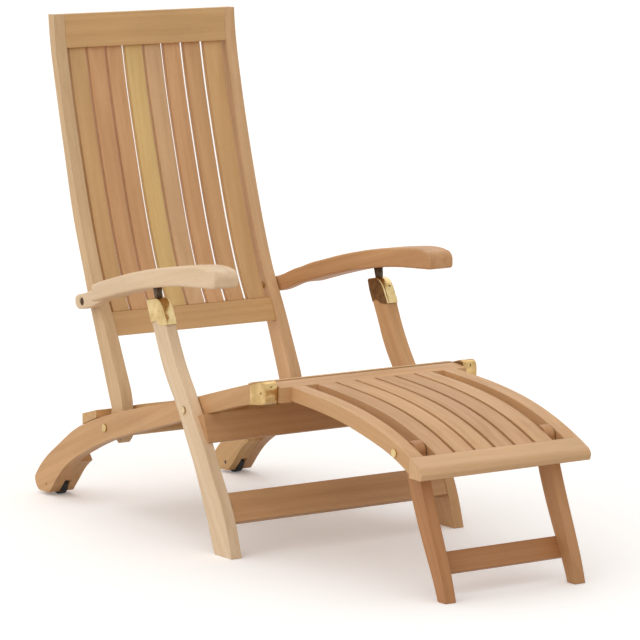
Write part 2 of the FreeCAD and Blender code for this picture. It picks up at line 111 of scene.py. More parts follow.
def colour(code):
    """An sRGB hex value as linear RGBA."""
    channels = [int(code[at:at + 2], 16) / 255 for at in (1, 3, 5)]
    linear = [c / 12.92 if c <= 0.04045 else ((c + 0.055) / 1.055) ** 2.4 for c in channels]
    return linear + [1.0]


def add(tree, kind, settings=None, **links):
    """Adds a node. settings are its properties, and links its input sockets, by name or number.
    A link is a plain value, a socket, or a node, which stands for its first output."""
    node = tree.nodes.new(kind)
    for name, value in (settings or {}).items():
        setattr(node, name, value)
    for name, value in links.items():
        socket = node.inputs[int(name[1:]) if name[0] == "_" else name.replace("_", " ")]
        if isinstance(value, bpy.types.Node):
            value = value.outputs[0]
        if isinstance(value, bpy.types.NodeSocket):
            tree.links.new(value, socket)
        else:
            socket.default_value = value
    return node


def new_material(name):
    """An empty node material."""
    material = bpy.data.materials.new(name)
    material.use_nodes = True
    material.node_tree.nodes.clear()
    return material, material.node_tree


print("brass yellow in linear light", [round(c, 3) for c in colour("#e4cd98")])

# %% [markdown]
# Teak
#
# Teak is a golden brown, oily wood. The tree lays down a ring a year, here about 5 mm wide, and
# a board is a straight cut through those rings: along the board they show as long quiet lines,
# and across its end as short arcs. So the pattern is made as the tree makes it. Rings run
# round an axis that lies along the board, well outside it and a little tilted, and the noise
# that disturbs them is stretched along the grain. The pores are dark dashes a few tenths of a
# millimetre wide, drawn about 1 mm wide here, because finer ones are lost in the picture.
# The chair is sanded and not oiled, so the wood is matte with a faint sheen.

# %% Sizes and tones of teak
# Rings, and how far from its tree's heart a board is cut, in metres.
RING_WIDTH = 0.0055
LOG_RADIUS = 0.55
LOG_SPREAD = 0.05
LOG_TILT = (0.010, 0.008)
BOARD_STEP = 1.37
LATE_WOOD = 0.10
# Slow noise that bends the rings, long streaks, pores and soft clouds: width across the grain,
# length along it, and strength.
WANDER_WIDTH = 0.16
WANDER_LENGTH = 0.5
WANDER = 0.02
STREAK_WIDTH = 0.012
STREAK_LENGTH = 0.7
STREAKS = 0.72
PORE_WIDTH = 0.0012
PORE_LENGTH = 0.03
PORES = 0.16
PORE_SHADE = 0.45
CLOUD_WIDTH = 0.07
CLOUD_LENGTH = 0.25
CLOUDS = (0.93, 1.06)
# Roughness of light and dark wood, sheen, relief of the grain, and the round of sanded edges.
SANDED = (0.46, 0.6)
SHEEN = 0.35
RELIEF = 0.3
RELIEF_DEPTH = 0.0002
EDGE_EASE = 0.0016
EASE_SAMPLES = 6
# Each tone is a pair: the wood between the streaks, and the streaks.
TONES = {
    "cream": ("#e9cfae", "#dcbc96"),
    "wheat": ("#dab286", "#c89e71"),
    "straw": ("#dcbc92", "#cca77c"),
    "peach": ("#dab186", "#caa073"),
    "honey": ("#d8ae7a", "#c89c67"),
    "gold": ("#e1bf82", "#d3ac6c"),
    "rose": ("#d9a97a", "#c99668"),
    "amber": ("#d3a676", "#c29263"),
    "tan": ("#cea073", "#bc8c5f"),
    "chestnut": ("#c79567", "#b28155"),
    "brown": ("#bb8557", "#a77247"),
}
print(len(TONES), "tones of teak")

# %% Teak in its tree


def ring_scale(period):
    """Blender's wave texture repeats every 2 pi / 20 units at scale 1."""
    return 2 * math.pi / (20 * period)


def log_space(tree, centre, turn, heart, seed):
    """Where a point of a board lies in the tree it was cut from: moved along the tree, out from
    its heart, and tilted a little. The seed makes all three differ from board to board."""
    place = add(tree, "ShaderNodeTexCoord").outputs["Object"]
    centred = add(tree, "ShaderNodeVectorMath", {"operation": "SUBTRACT"}, _0=place, _1=centre)
    turned = add(tree, "ShaderNodeMapping", Vector=centred, Rotation=turn)
    away = LOG_RADIUS + LOG_SPREAD * math.sin(seed * 2.4)
    shift = (away * math.cos(heart), BOARD_STEP * seed, away * math.sin(heart))
    tilt = (LOG_TILT[0] * math.cos(seed), 0.0, LOG_TILT[1] * math.sin(seed * 1.7))
    return add(tree, "ShaderNodeMapping", Vector=turned, Location=shift, Rotation=tilt)


def stretched(tree, log, width, length, detail):
    """Noise whose spots are so wide across the grain and so long along it."""
    size = (1 / width, 1 / length, 1 / width)
    laid = add(tree, "ShaderNodeVectorMath", {"operation": "MULTIPLY"}, _0=log, _1=size)
    return add(tree, "ShaderNodeTexNoise", Vector=laid, Scale=1.0, Detail=detail)


def ring_pattern(tree, log):
    """Rings, bent a little by slow noise, with a darker line of late wood at the end of each."""
    wander = stretched(tree, log, WANDER_WIDTH, WANDER_LENGTH, 1.0)
    sway = add(tree, "ShaderNodeVectorMath", {"operation": "SCALE"}, Vector=wander, Scale=WANDER)
    bent = add(tree, "ShaderNodeVectorMath", {"operation": "ADD"}, _0=log, _1=sway)
    wave = {"wave_type": "RINGS", "rings_direction": "Y", "wave_profile": "SAW"}
    rings = add(tree, "ShaderNodeTexWave", wave, Vector=bent, Scale=ring_scale(RING_WIDTH),
                Distortion=0.4, Detail=1.0, Detail_Scale=0.5).outputs["Fac"]
    return add(tree, "ShaderNodeMapRange", {"interpolation_type": "SMOOTHSTEP"}, Value=rings,
               From_Min=0.45, From_Max=1.0, To_Min=0.0, To_Max=LATE_WOOD)


print("rings at scale", round(ring_scale(RING_WIDTH), 1))

# %% Teak material


def teak(name, tone, centre, turn, heart, seed):
    """Sanded teak. Its grain runs along the Y axis that the turn gives it, and heart is the
    direction in which the middle of the tree lies, as an angle round that axis."""
    material, tree = new_material(f"sanded_teak_{name}")
    light, dark = (colour(code) for code in TONES[tone])
    log = log_space(tree, centre, turn, heart, seed)

    # The figure is made of the rings and of long streaks of the two tones.
    slow = stretched(tree, log, STREAK_WIDTH, STREAK_LENGTH, 3.0)
    streaks = add(tree, "ShaderNodeMapRange", Value=slow, From_Min=0.3, From_Max=0.7,
                  To_Max=STREAKS)
    figure = add(tree, "ShaderNodeMath", {"operation": "ADD", "use_clamp": True},
                 _0=ring_pattern(tree, log), _1=streaks)
    wood = add(tree, "ShaderNodeMix", {"data_type": "RGBA"}, _0=figure, _6=light,
               _7=dark).outputs[2]

    # Pores are darker still, and soft clouds show where the wood is richer in oil.
    specks = stretched(tree, log, PORE_WIDTH, PORE_LENGTH, 1.0)
    pores = add(tree, "ShaderNodeMapRange", {"interpolation_type": "SMOOTHSTEP"}, Value=specks,
                From_Min=0.60, From_Max=0.72, To_Min=0.0, To_Max=PORES)
    deep = [PORE_SHADE * channel for channel in dark[:3]] + [1.0]
    grained = add(tree, "ShaderNodeMix", {"data_type": "RGBA"}, _0=pores, _6=wood,
                  _7=deep).outputs[2]
    soft = stretched(tree, log, CLOUD_WIDTH, CLOUD_LENGTH, 2.0)
    clouds = add(tree, "ShaderNodeMapRange", Value=soft, From_Min=0.3, From_Max=0.7,
                 To_Min=CLOUDS[0], To_Max=CLOUDS[1])
    shaded = add(tree, "ShaderNodeVectorMath", {"operation": "SCALE"}, Vector=grained,
                 Scale=clouds)

    # Dark wood is a little rougher, pores are sunk, and all edges are eased.
    rough = add(tree, "ShaderNodeMapRange", Value=figure, To_Min=SANDED[0], To_Max=SANDED[1])
    height = add(tree, "ShaderNodeMath", {"operation": "ADD"}, _0=figure, _1=pores)
    eased = add(tree, "ShaderNodeBevel", {"samples": EASE_SAMPLES}, Radius=EDGE_EASE)
    bump = add(tree, "ShaderNodeBump", {"invert": True}, Strength=RELIEF, Distance=RELIEF_DEPTH,
               Height=height, Normal=eased)
    shader = add(tree, "ShaderNodeBsdfPrincipled", Base_Color=shaded, Roughness=rough,
                 Normal=bump, IOR=1.5, Specular_IOR_Level=SHEEN)
    add(tree, "ShaderNodeOutputMaterial", Surface=shader)
    return material


# %% [markdown]
# Which way the grain runs
#
# A sawyer lays each outline along the board, so the grain runs straight from one end of a
# piece to the other, even where the piece is curved. The rails that cross the chair have it
# along X. All others lie in the side view, and their direction is read from the CAD: from the
# middle of a node's box to the middle of another, or along the box's own diagonal.

# %% Grain directions
ACROSS = (0.0, 0.0, math.pi / 2)


def middle(node):
    """The middle of a node's box."""
    low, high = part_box(node)
    return (low + high) / 2


def along(line):
    """The turn that brings a line of the side view onto the Y axis."""
    return (-math.atan2(line.z, line.y), 0.0, 0.0)


def diagonal(node, rising):
    """A line from the front of a node to its back, rising or falling."""
    low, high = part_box(node)
    height = high.z - low.z
    return along(Vector((0.0, high.y - low.y, height if rising else -height)))


back_line = along(middle("back_top_rail") - middle("back_lower_rail"))
footrest_line = along(middle("footrest_rear_rail") - middle("footrest_nose_rail"))
seat_line = along(middle("seat_rear_rail") - middle("seat_front_rail"))
GRAIN = {
    "side_rail": diagonal("side_rail_right", rising=False),
    "wheel_cheek": diagonal("wheel_cheek_right", rising=False),
    "back_stile": diagonal("back_stile_right", rising=True),
    "back_slat": back_line,
    "arm": diagonal("arm_right", rising=False),
    "front_leg": diagonal("front_leg_right", rising=True),
    "footrest_stile": footrest_line,
    "footrest_slat": footrest_line,
    "footrest_leg_": diagonal("footrest_leg_right", rising=True),
    "seat_slat": seat_line,
}
print(len(GRAIN), "kinds of board with a direction of their own")

# %% [markdown]
# Which tone each board has
#
# Boards of one chair come from several trees, and the sun has bleached those that face it. One
# tone for all would look like plastic, so each board that shows takes one of the pairs of colours
# above. Those that hardly show share a honey tone.

# %% Tones of the boards
BOARD_TONES = {
    "side_rail_right": "amber",
    "side_rail_left": "tan",
    "wheel_cheek_right": "amber",
    "back_stile_right": "straw",
    "back_stile_left": "wheat",
    "back_slat_2": "rose",
    "back_slat_3": "rose",
    "back_slat_4": "gold",
    "back_slat_5": "peach",
    "back_slat_6": "rose",
    "back_slat_7": "amber",
    "arm_right": "cream",
    "arm_left": "tan",
    "front_leg_right": "cream",
    "front_leg_left": "amber",
    "upper_cross_rail": "tan",
    "lower_stretcher": "tan",
    "footrest_stile_right": "amber",
    "footrest_stile_left": "amber",
    "footrest_rear_rail": "amber",
    "footrest_nose_rail": "peach",
    "footrest_slat_1": "tan",
    "footrest_slat_2": "amber",
    "footrest_slat_3": "amber",
    "footrest_slat_4": "tan",
    "footrest_slat_5": "tan",
    "footrest_slat_6": "amber",
    "footrest_leg_right": "brown",
    "footrest_leg_left": "chestnut",
    "footrest_leg_bar": "brown",
}
print(len(BOARD_TONES), "boards with a tone of their own")

# %% [markdown]
# Every board gets its teak
#
# Rings that cross a board's wide face show there as straight lines. That face of a slat looks up
# or forward, and that of a side board looks outward, so their trees lie in different directions.
# Each board has a material of its own, because its place in the grain is its own.

# %% Teak on every board
HEART_OF_SLATS = math.radians(15)
HEART_OF_RAILS = math.radians(45)
HEART_OF_SIDES = math.radians(75)


def grain_of(node):
    """The turn for a board, from the start of its name."""
    for start, turn in GRAIN.items():
        if node.startswith(start) and node != "footrest_leg_bar":
            return turn
    return ACROSS


def heart_of(node):
    """The direction of a board's own tree, seen along its grain."""
    if "slat" in node:
        return HEART_OF_SLATS
    return HEART_OF_RAILS if grain_of(node) is ACROSS else HEART_OF_SIDES


def wear(obj, material):
    """Puts one material on a whole piece."""
    obj.data.materials.clear()
    obj.data.materials.append(material)


slots = {part["node"]: part["material_slot"] for part in frame["record"]["subparts"]}
boards = sorted(node for node in nodes if slots[node] == "teak")
for number, node in enumerate(boards):
    tone = BOARD_TONES.get(node, "honey")
    grain = (middle(node), grain_of(node), heart_of(node), number + 1)
    wear(nodes[node], teak(node, tone, *grain))
print(f"{len(boards)} teak boards")

# %% [markdown]
# Brass, blackened steel and rubber
#
# The caps, bolts and washers are cast brass, a pale yellow metal that mirrors what is near it, so
# most of its look is the room and the wood around it. Its gloss drifts in soft patches where hands
# have dulled it, and fine scratches break the highlights. A flat yellow would look like paint.
# The lugs under the arms and the wheel axles are blackened steel, and the wheels are black rubber,
# greyed where the floor has rubbed them.

# %% Metal
METAL_EASE = 0.0008
SCRATCH_SCALE = 900.0
SCRATCHES = 0.08
GRIT_DEPTH = 0.0002
# Painted shade: a dark ring round the heads of the leg bolts.
RING_SHADE = "#5f4a2e"
RING_SHADE_EDGE = (0.76, 0.9)
# Painted shade: the dark brown of the arm bolts' heads, deep in their holes.
HOLE_SHADE = "#4b3926"


def painted_shade_ring(tree, place, tint, y, z, radius):
    """Painted shade in the groove round a bolt's head, where it sits in its recess, on an axis
    that lies at y and z.
    """
    inside, outside = (share * radius for share in RING_SHADE_EDGE)
    flat = add(tree, "ShaderNodeVectorMath", {"operation": "MULTIPLY"}, _0=place,
               _1=(0.0, 1.0, 1.0))
    off_axis = add(tree, "ShaderNodeVectorMath", {"operation": "DISTANCE"}, _0=flat,
                   _1=(0.0, y, z)).outputs["Value"]
    ring_shade = add(tree, "ShaderNodeMapRange", Value=off_axis, From_Min=inside, From_Max=outside)
    return add(tree, "ShaderNodeMix", {"data_type": "RGBA"}, _0=ring_shade, _6=tint,
               _7=colour(RING_SHADE)).outputs[2]


def shaded_beyond(tree, place, tint, reach):
    """Brass painted dark brown further out from the chair's middle than the reach: painted shade
    for a bolt's head that lies deep in its hole.
    """
    sideways = add(tree, "ShaderNodeSeparateXYZ", Vector=place)
    outward = add(tree, "ShaderNodeMath", {"operation": "ABSOLUTE"}, _0=sideways)
    brown = add(tree, "ShaderNodeMath", {"operation": "GREATER_THAN"}, _0=outward, _1=reach)
    return add(tree, "ShaderNodeMix", {"data_type": "RGBA"}, _0=brown, _6=tint,
               _7=colour(HOLE_SHADE)).outputs[2]


def metal(name, bright, dull, smooth, rough, patch, ring=None, shade_beyond=None):
    """A metal whose colour and gloss drift between two states in patches of so many metres. A
    ring of y, z and radius paints shade in the groove round a bolt's head, and beyond the given
    reach from the chair's middle the metal is painted brown, as the shade of a deep hole."""
    material, tree = new_material(name)
    place = add(tree, "ShaderNodeTexCoord").outputs["Object"]
    patches = add(tree, "ShaderNodeTexNoise", Vector=place, Scale=1 / patch, Detail=5.0,
                  Roughness=0.6)
    state = add(tree, "ShaderNodeMapRange", Value=patches, From_Min=0.35, From_Max=0.65)
    tint = add(tree, "ShaderNodeMix", {"data_type": "RGBA"}, _0=state, _6=colour(bright),
               _7=colour(dull)).outputs[2]
    if ring:
        tint = painted_shade_ring(tree, place, tint, *ring)
    if shade_beyond:
        tint = shaded_beyond(tree, place, tint, shade_beyond)
    gloss = add(tree, "ShaderNodeMapRange", Value=state, To_Min=smooth, To_Max=rough)

    # A scratch a millimetre long. Real ones are finer, and would be lost in the picture.
    scratch = add(tree, "ShaderNodeTexNoise", Vector=place, Scale=SCRATCH_SCALE, Detail=2.0)
    eased = add(tree, "ShaderNodeBevel", {"samples": EASE_SAMPLES}, Radius=METAL_EASE)
    bump = add(tree, "ShaderNodeBump", Strength=SCRATCHES, Distance=GRIT_DEPTH, Height=scratch,
               Normal=eased)
    shader = add(tree, "ShaderNodeBsdfPrincipled", Base_Color=tint, Roughness=gloss,
                 Normal=bump, Metallic=1.0)
    add(tree, "ShaderNodeOutputMaterial", Surface=shader)
    return material


# %% Rubber
DUST_SCALE = 160.0
SKIN = 0.3


def rubber(name, fresh, rubbed):
    """Moulded rubber with a slightly grainy skin, greyed by dust in spots of about 6 mm."""
    material, tree = new_material(name)
    place = add(tree, "ShaderNodeTexCoord").outputs["Object"]
    dust = add(tree, "ShaderNodeTexNoise", Vector=place, Scale=DUST_SCALE, Detail=4.0)
    tint = add(tree, "ShaderNodeMix", {"data_type": "RGBA"}, _0=dust, _6=colour(fresh),
               _7=colour(rubbed)).outputs[2]
    bump = add(tree, "ShaderNodeBump", Strength=SKIN, Distance=GRIT_DEPTH, Height=dust)
    shader = add(tree, "ShaderNodeBsdfPrincipled", Base_Color=tint, Roughness=0.7, Normal=bump)
    add(tree, "ShaderNodeOutputMaterial", Surface=shader)
    return material


# %% [markdown]
# The state of each metal part
#
# One chair shows many states of the same brass. Caps on the legs keep their polish. Those on the
# knees are rubbed dull by trouser legs. The heads of the arm bolts are painted nearly black, as
# the shade of the deep holes they lie in, and the big leg bolts get a dark ring of painted shade
# round their heads, where these sit in a recess. Screws go brown all over, and the inner cheeks of
# the caps are painted dull brown, as shade and a dark reflection.

# %% Finishes
ARM_BOLT_HOLE = 0.238
LEG_BOLT_RADIUS = 0.01
bolt_middle = middle("leg_bolts")
FINISHES = {
    # Polished after casting: a pale, clear mirror with soft dull patches.
    "brass": metal("polished_cast_brass", "#e4cd98", "#c9ab72", 0.14, 0.3, 0.03),
    # Blackened: dark brown, with only a dull gleam.
    "dark_steel": metal("blackened_steel", "#6a5848", "#41352a", 0.35, 0.5, 0.01),
    # Moulded: black and matte, so the wheels nearly vanish in their slots.
    "wheel_rubber": rubber("moulded_rubber", "#161616", "#2e2d2b"),
}
# Dull and brownish: painted shade and a painted dark reflection on the inner cheeks of the caps,
# which look into the chair, so that a cap shows that it is hollow.
SHADED_CHEEK_BRASS = metal("brass_with_painted_shade", "#93714b", "#75573a", 0.38, 0.55, 0.012)
# Rubbed by cloth: a darker yellow with soft highlights.
RUBBED = metal("rubbed_cast_brass", "#d6b67f", "#bb9862", 0.2, 0.36, 0.02)
# Browned by age: darker than the caps, so that the small heads stand out on them.
SCREW_FINISH = metal("browned_brass", "#94763f", "#614a26", 0.3, 0.45, 0.004)
OWN_FINISH = {
    "knee_cap_right": RUBBED,
    "knee_cap_left": RUBBED,
    # Yellow at the nut, and painted nearly black at the head: painted shade of the deep hole in
    # which the head lies.
    "arm_bolts": metal("brass_with_painted_shade_at_the_head", "#d6b67f", "#bb9862", 0.3, 0.45, 0.01,
                       shade_beyond=ARM_BOLT_HOLE),
    # Rubbed with fine grit: bright without mirroring, in a dark ring of painted shade where the
    # head sits in its recess.
    "leg_bolts": metal("satin_brass", "#e6d3ad", "#cdb184", 0.2, 0.35, 0.01,
                       ring=(bolt_middle.y, bolt_middle.z, LEG_BOLT_RADIUS)),
}
for node, obj in nodes.items():
    if slots[node] in FINISHES:
        wear(obj, OWN_FINISH.get(node, FINISHES[slots[node]]))
print("finishes", sorted(FINISHES))

# %% [markdown]
# Helpers for new pieces
#
# A CAD node stays as it is. Where a piece needs rounder edges than its solid has, a new mesh is
# made from a copy of the node's triangles, merged first, or from an outline, and then takes the
# node's place, body and finish. Faces that meet at a small angle are shaded as one smooth
# surface, and sharper edges stay crisp.

# %% Helpers for new pieces
SMOOTH_ANGLE = math.radians(35)
SHARP_ANGLE = math.radians(40)
FLAT_ANGLE = math.radians(0.5)
MERGE_DISTANCE = 1e-5
body_of = {node: body for body, members in frame["record"]["behaviour"]["bodies"].items()
           for node in members}


def shade(mesh):
    """Smooth shading, with the sharp edges kept."""
    bm = bmesh.new()
    bm.from_mesh(mesh)
    for face in bm.faces:
        face.smooth = True
    for edge in bm.edges:
        edge.smooth = len(edge.link_faces) == 2 and edge.calc_face_angle() < SMOOTH_ANGLE
    bm.to_mesh(mesh)
    bm.free()


def linked(name, mesh):
    """A new object of the scene."""
    obj = bpy.data.objects.new(name, mesh)
    bpy.context.scene.collection.objects.link(obj)
    return obj


def finished(obj):
    """The object's modifiers, applied: a plain mesh in a new object of the same name."""
    graph = bpy.context.evaluated_depsgraph_get()
    mesh = bpy.data.meshes.new_from_object(obj.evaluated_get(graph))
    name = obj.name
    bpy.data.objects.remove(obj)
    mesh.name = name
    return linked(name, mesh)


def broken_edges(obj, width):
    """Rounds the sharp edges of a piece."""
    bevel = obj.modifiers.new("broken_edges", "BEVEL")
    bevel.width = width
    bevel.segments = 2
    bevel.angle_limit = SHARP_ANGLE
    return finished(obj)


def merged_copy(node):
    """A node's mesh with its loose triangles joined and its flat faces whole."""
    mesh = nodes[node].data.copy()
    bm = bmesh.new()
    bm.from_mesh(mesh)
    bmesh.ops.remove_doubles(bm, verts=bm.verts, dist=MERGE_DISTANCE)
    bmesh.ops.dissolve_limit(bm, angle_limit=FLAT_ANGLE, verts=bm.verts, edges=bm.edges)
    bm.to_mesh(mesh)
    bm.free()
    return mesh


def stand_for(piece, node):
    """Puts a piece in a node's place, on its body and in its finish."""
    wear(piece, nodes[node].data.materials[0])
    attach(piece, body_of[node])
    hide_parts(node)


# %% [markdown]
# Arms rounded by hand
#
# A sitter's hands rest on the arms, so a maker rasps and sands their edges to a radius of about
# 6 mm. A Bevel modifier stumbles over the many short edges of a curved outline. A voxel remesh
# turns the solid into even small faces instead, and smoothing those wears the edges down evenly,
# as sanding does, while the broad faces stay where they are.

# %% Arms
ARM_VOXEL = 0.0022
SANDING_STROKES = 9


def sanded(node):
    """A piece with its edges sanded round."""
    piece = linked(f"{node}_sanded", merged_copy(node))
    remesh = piece.modifiers.new("voxels", "REMESH")
    remesh.mode = "VOXEL"
    remesh.voxel_size = ARM_VOXEL
    smooth = piece.modifiers.new("sanding", "SMOOTH")
    smooth.factor = 0.5
    smooth.iterations = SANDING_STROKES
    piece = finished(piece)
    for polygon in piece.data.polygons:
        polygon.use_smooth = True
    stand_for(piece, node)
    return piece


for node in ("arm_right", "arm_left"):
    arm = sanded(node)
    print(arm.name, len(arm.data.polygons), "faces")

# %% [markdown]
# Slats of the back
#
# The eight slats were cut and fitted by hand, so no two are quite alike, nor are the gaps: those
# beside the first slats are narrower, and one looks through the last ones. Each slat is a copy
# of its solid, stretched to its own edges, with the long edges broken to a small round by a Bevel
# modifier. The edges are in millimetres from the middle, from the sitter's right to the left.

# %% Slats of the back
SLAT_EDGES = ((-188.65, -149.1), (-143.1, -103.0), (-97.0, -59.3), (-51.4, -10.2),
              (-4.2, 36.7), (44.6, 85.3), (94.4, 135.6), (145.3, 190.0))
SLAT_BREAK = 0.0015

for number, (left, right) in enumerate(SLAT_EDGES):
    node = f"back_slat_{number + 1}"
    low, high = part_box(node)
    piece = linked(f"{node}_fitted", merged_copy(node))
    for vertex in piece.data.vertices:
        share = (vertex.co.x - low.x) / (high.x - low.x)
        vertex.co.x = (left + share * (right - left)) / 1000
    piece = broken_edges(piece, SLAT_BREAK)
    shade(piece.data)
    stand_for(piece, node)
    print(piece.name, round(right - left, 1), "mm wide")

# %% [markdown]
# Bar of the footrest's legs
#
# The bar lies against the back of the footrest's legs. Its ends are snipped to a slant, so that
# they don't stick out beside the legs and catch a trouser leg. The solid has square ends, so the
# corner points of a copy are moved in, the more the further back they lie.

# %% Bar with snipped ends
BAR_FRONT_END = 0.161
BAR_REAR_END = 0.150
BAR_LEAN = Vector((0.0, 0.89, -0.46))
BAR_BREAK = 0.001
bar = linked("footrest_leg_bar_snipped", merged_copy("footrest_leg_bar"))
depths = [vertex.co.dot(BAR_LEAN) for vertex in bar.data.vertices]
for vertex, depth in zip(bar.data.vertices, depths):
    share = (depth - min(depths)) / (max(depths) - min(depths))
    end = BAR_FRONT_END + share * (BAR_REAR_END - BAR_FRONT_END)
    vertex.co.x = math.copysign(end, vertex.co.x)
bar = broken_edges(bar, BAR_BREAK)
shade(bar.data)
stand_for(bar, "footrest_leg_bar")
print(bar.name, len(bar.data.polygons), "faces")

# %% [markdown]
# Cast brass caps
#
# Where the wood would wear, at the knees of the seat and on the heads of the front legs, the chair
# has cast brass caps: a shell about 2 mm thick with rounded outer edges, open below and behind.
# Each is drawn as its outline in the side view and stretched to its width. The open sides are
# left out, the edges between face and cheeks are bevelled, and Solidify gives the wall its
# thickness. The inner cheeks, which look into the chair, are painted a dull brown as shade and a
# dark reflection.

# %% Outlines of the caps
CAP_WALL = 0.002
CAP_ROUND = {"knee_cap": 0.0035, "leg_cap": 0.0045}
KNEE_CAP_WIDTH = 0.0326
KNEE_OUTLINE = ((-157.0, 349.0), (-190.0, 358.0), (-198.0, 358.5), (-204.0, 355.5),
                (-207.5, 349.5), (-208.5, 342.0), (-208.0, 322.0), (-205.0, 316.0),
                (-199.0, 313.0), (-157.0, 308.5))
KNEE_OPEN = (8, 9)
LEG_CAP_OUTLINE = ((178.0, 477.0), (146.0, 483.0), (137.0, 481.5), (129.0, 476.0),
                   (121.0, 467.0), (114.5, 455.5), (111.5, 448.5), (108.5, 446.0),
                   (104.0, 434.0), (112.0, 431.5), (130.0, 431.0), (137.0, 434.0),
                   (143.5, 436.5), (150.5, 436.5), (156.0, 433.5), (159.5, 430.5),
                   (171.5, 455.0))
LEG_CAP_OPEN = (8, 9, 10, 11, 12, 13, 14, 15, 16)


def slab(bm, outline, planes):
    """An outline of the side view, in millimetres, stretched between two planes across the
    chair, which are given by their X. Gives the two cheeks and the sides."""
    rims = [[bm.verts.new((x, y / 1000, z / 1000)) for y, z in outline] for x in planes]
    cheeks = [bm.faces.new(rim) for rim in rims]
    sides = []
    for at in range(len(outline)):
        after = (at + 1) % len(outline)
        corners = (rims[0][at], rims[1][at], rims[1][after], rims[0][after])
        sides.append(bm.faces.new(corners))
    return cheeks, sides


print(len(KNEE_OUTLINE), "and", len(LEG_CAP_OUTLINE), "corners in the outlines")

# %% Cast caps


def cast_cap(name, outline, open_sides, planes, round_size):
    """A shell between two planes across the chair, without the outline's open sides."""
    bm = bmesh.new()
    cheeks, sides = slab(bm, outline, planes)
    bmesh.ops.recalc_face_normals(bm, faces=bm.faces)
    bmesh.ops.delete(bm, geom=[sides[at] for at in open_sides], context="FACES_ONLY")
    rounded = [edge for face in cheeks for edge in face.edges if len(edge.link_faces) == 2]
    bmesh.ops.bevel(bm, geom=rounded, offset=round_size, segments=4, profile=0.5,
                    affect="EDGES")
    mesh = bpy.data.meshes.new(name)
    bm.to_mesh(mesh)
    bm.free()
    piece = linked(name, mesh)
    wall = piece.modifiers.new("wall", "SOLIDIFY")
    wall.thickness = CAP_WALL
    wall.offset = -1.0
    piece = finished(piece)
    shade(piece.data)
    return piece


def shade_inner_cheek(piece, inner):
    """Gives the cheek at the inner plane a dull brown brass: painted shade and a painted dark
    reflection.
    """
    piece.data.materials.append(SHADED_CHEEK_BRASS)
    for polygon in piece.data.polygons:
        near = abs(polygon.center.x - inner) < 1.5 * CAP_WALL
        polygon.material_index = 1 if near and abs(polygon.normal.x) > 0.9 else 0


caps = (("knee_cap", KNEE_OUTLINE, KNEE_OPEN), ("leg_cap", LEG_CAP_OUTLINE, LEG_CAP_OPEN))
for side, sign in (("right", -1), ("left", 1)):
    for part, outline, open_sides in caps:
        node = f"{part}_{side}"
        low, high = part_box(node)
        outer = low.x if sign < 0 else high.x
        width = KNEE_CAP_WIDTH if part == "knee_cap" else high.x - low.x
        planes = (outer, outer - sign * width)
        piece = cast_cap(f"{node}_cast", outline, open_sides, planes, CAP_ROUND[part])
        stand_for(piece, node)
        shade_inner_cheek(piece, planes[1])
        print(piece.name, len(piece.data.polygons), "faces")

# %% [markdown]
# Lugs under the arms
#
# Each leg cap carries a small blackened lug that fits the groove under the arm. It is short and
# slim, with a rounded top, so that the arm drops over it easily.

# %% Lugs
LUG_OUTLINE = ((149.0, 482.0), (150.0, 501.0), (153.0, 505.0), (158.0, 506.0),
               (164.0, 504.0), (166.5, 500.0), (160.0, 480.0))
LUG_THICK = 0.0125
LUG_BREAK = 0.001


def lug_pair(middle_x):
    """Two upright lugs, one on each side, as one mesh."""
    bm = bmesh.new()
    for side in (-1, 1):
        slab(bm, LUG_OUTLINE, [side * middle_x + half for half in (-LUG_THICK / 2, LUG_THICK / 2)])
    bmesh.ops.recalc_face_normals(bm, faces=bm.faces)
    mesh = bpy.data.meshes.new("arm_lugs")
    bm.to_mesh(mesh)
    bm.free()
    return mesh


lugs = broken_edges(linked("arm_lugs", lug_pair(middle("leg_cap_left").x)), LUG_BREAK)
shade(lugs.data)
stand_for(lugs, "arm_posts")
print("lugs", len(lugs.data.polygons), "faces")

# %% [markdown]
# Screws by Geometry Nodes
#
# Small slotted brass screws hold the caps, and slotted plugs close the ends of the wheel axles.
# One head is a flattened ball with a slot cut by a Boolean, and Geometry Nodes put a copy on every
# point of a small cloud. Each point carries the direction that its screw looks in and the turn at
# which the driver left the slot.

# %% Screw head
HEAD_SIZES = {"Head Radius": 0.0034, "Head Height": 0.0015, "Slot Width": 0.001}
SLOT_LENGTH = 2.4


def slotted_head(tree, radius, height, slot):
    """A flattened ball with a slot cut across its top."""
    ball = add(tree, "GeometryNodeMeshUVSphere", Segments=24, Rings=12, Radius=radius)
    flatness = add(tree, "ShaderNodeMath", {"operation": "DIVIDE"}, _0=height, _1=radius)
    squash = add(tree, "ShaderNodeCombineXYZ", X=1.0, Y=1.0, Z=flatness)
    head = add(tree, "GeometryNodeTransform", Geometry=ball, Scale=squash)
    length = add(tree, "ShaderNodeMath", {"operation": "MULTIPLY"}, _0=radius, _1=SLOT_LENGTH)
    block = add(tree, "ShaderNodeCombineXYZ", X=length, Y=slot, Z=height)
    cutter = add(tree, "GeometryNodeMeshCube", Size=block)
    lift = add(tree, "ShaderNodeCombineXYZ", Z=height)
    raised = add(tree, "GeometryNodeTransform", Geometry=cutter, Translation=lift)
    return add(tree, "GeometryNodeMeshBoolean", {"operation": "DIFFERENCE"}, Mesh_1=head,
               Mesh_2=raised)


print("screw head", HEAD_SIZES)

# %% Screw tree


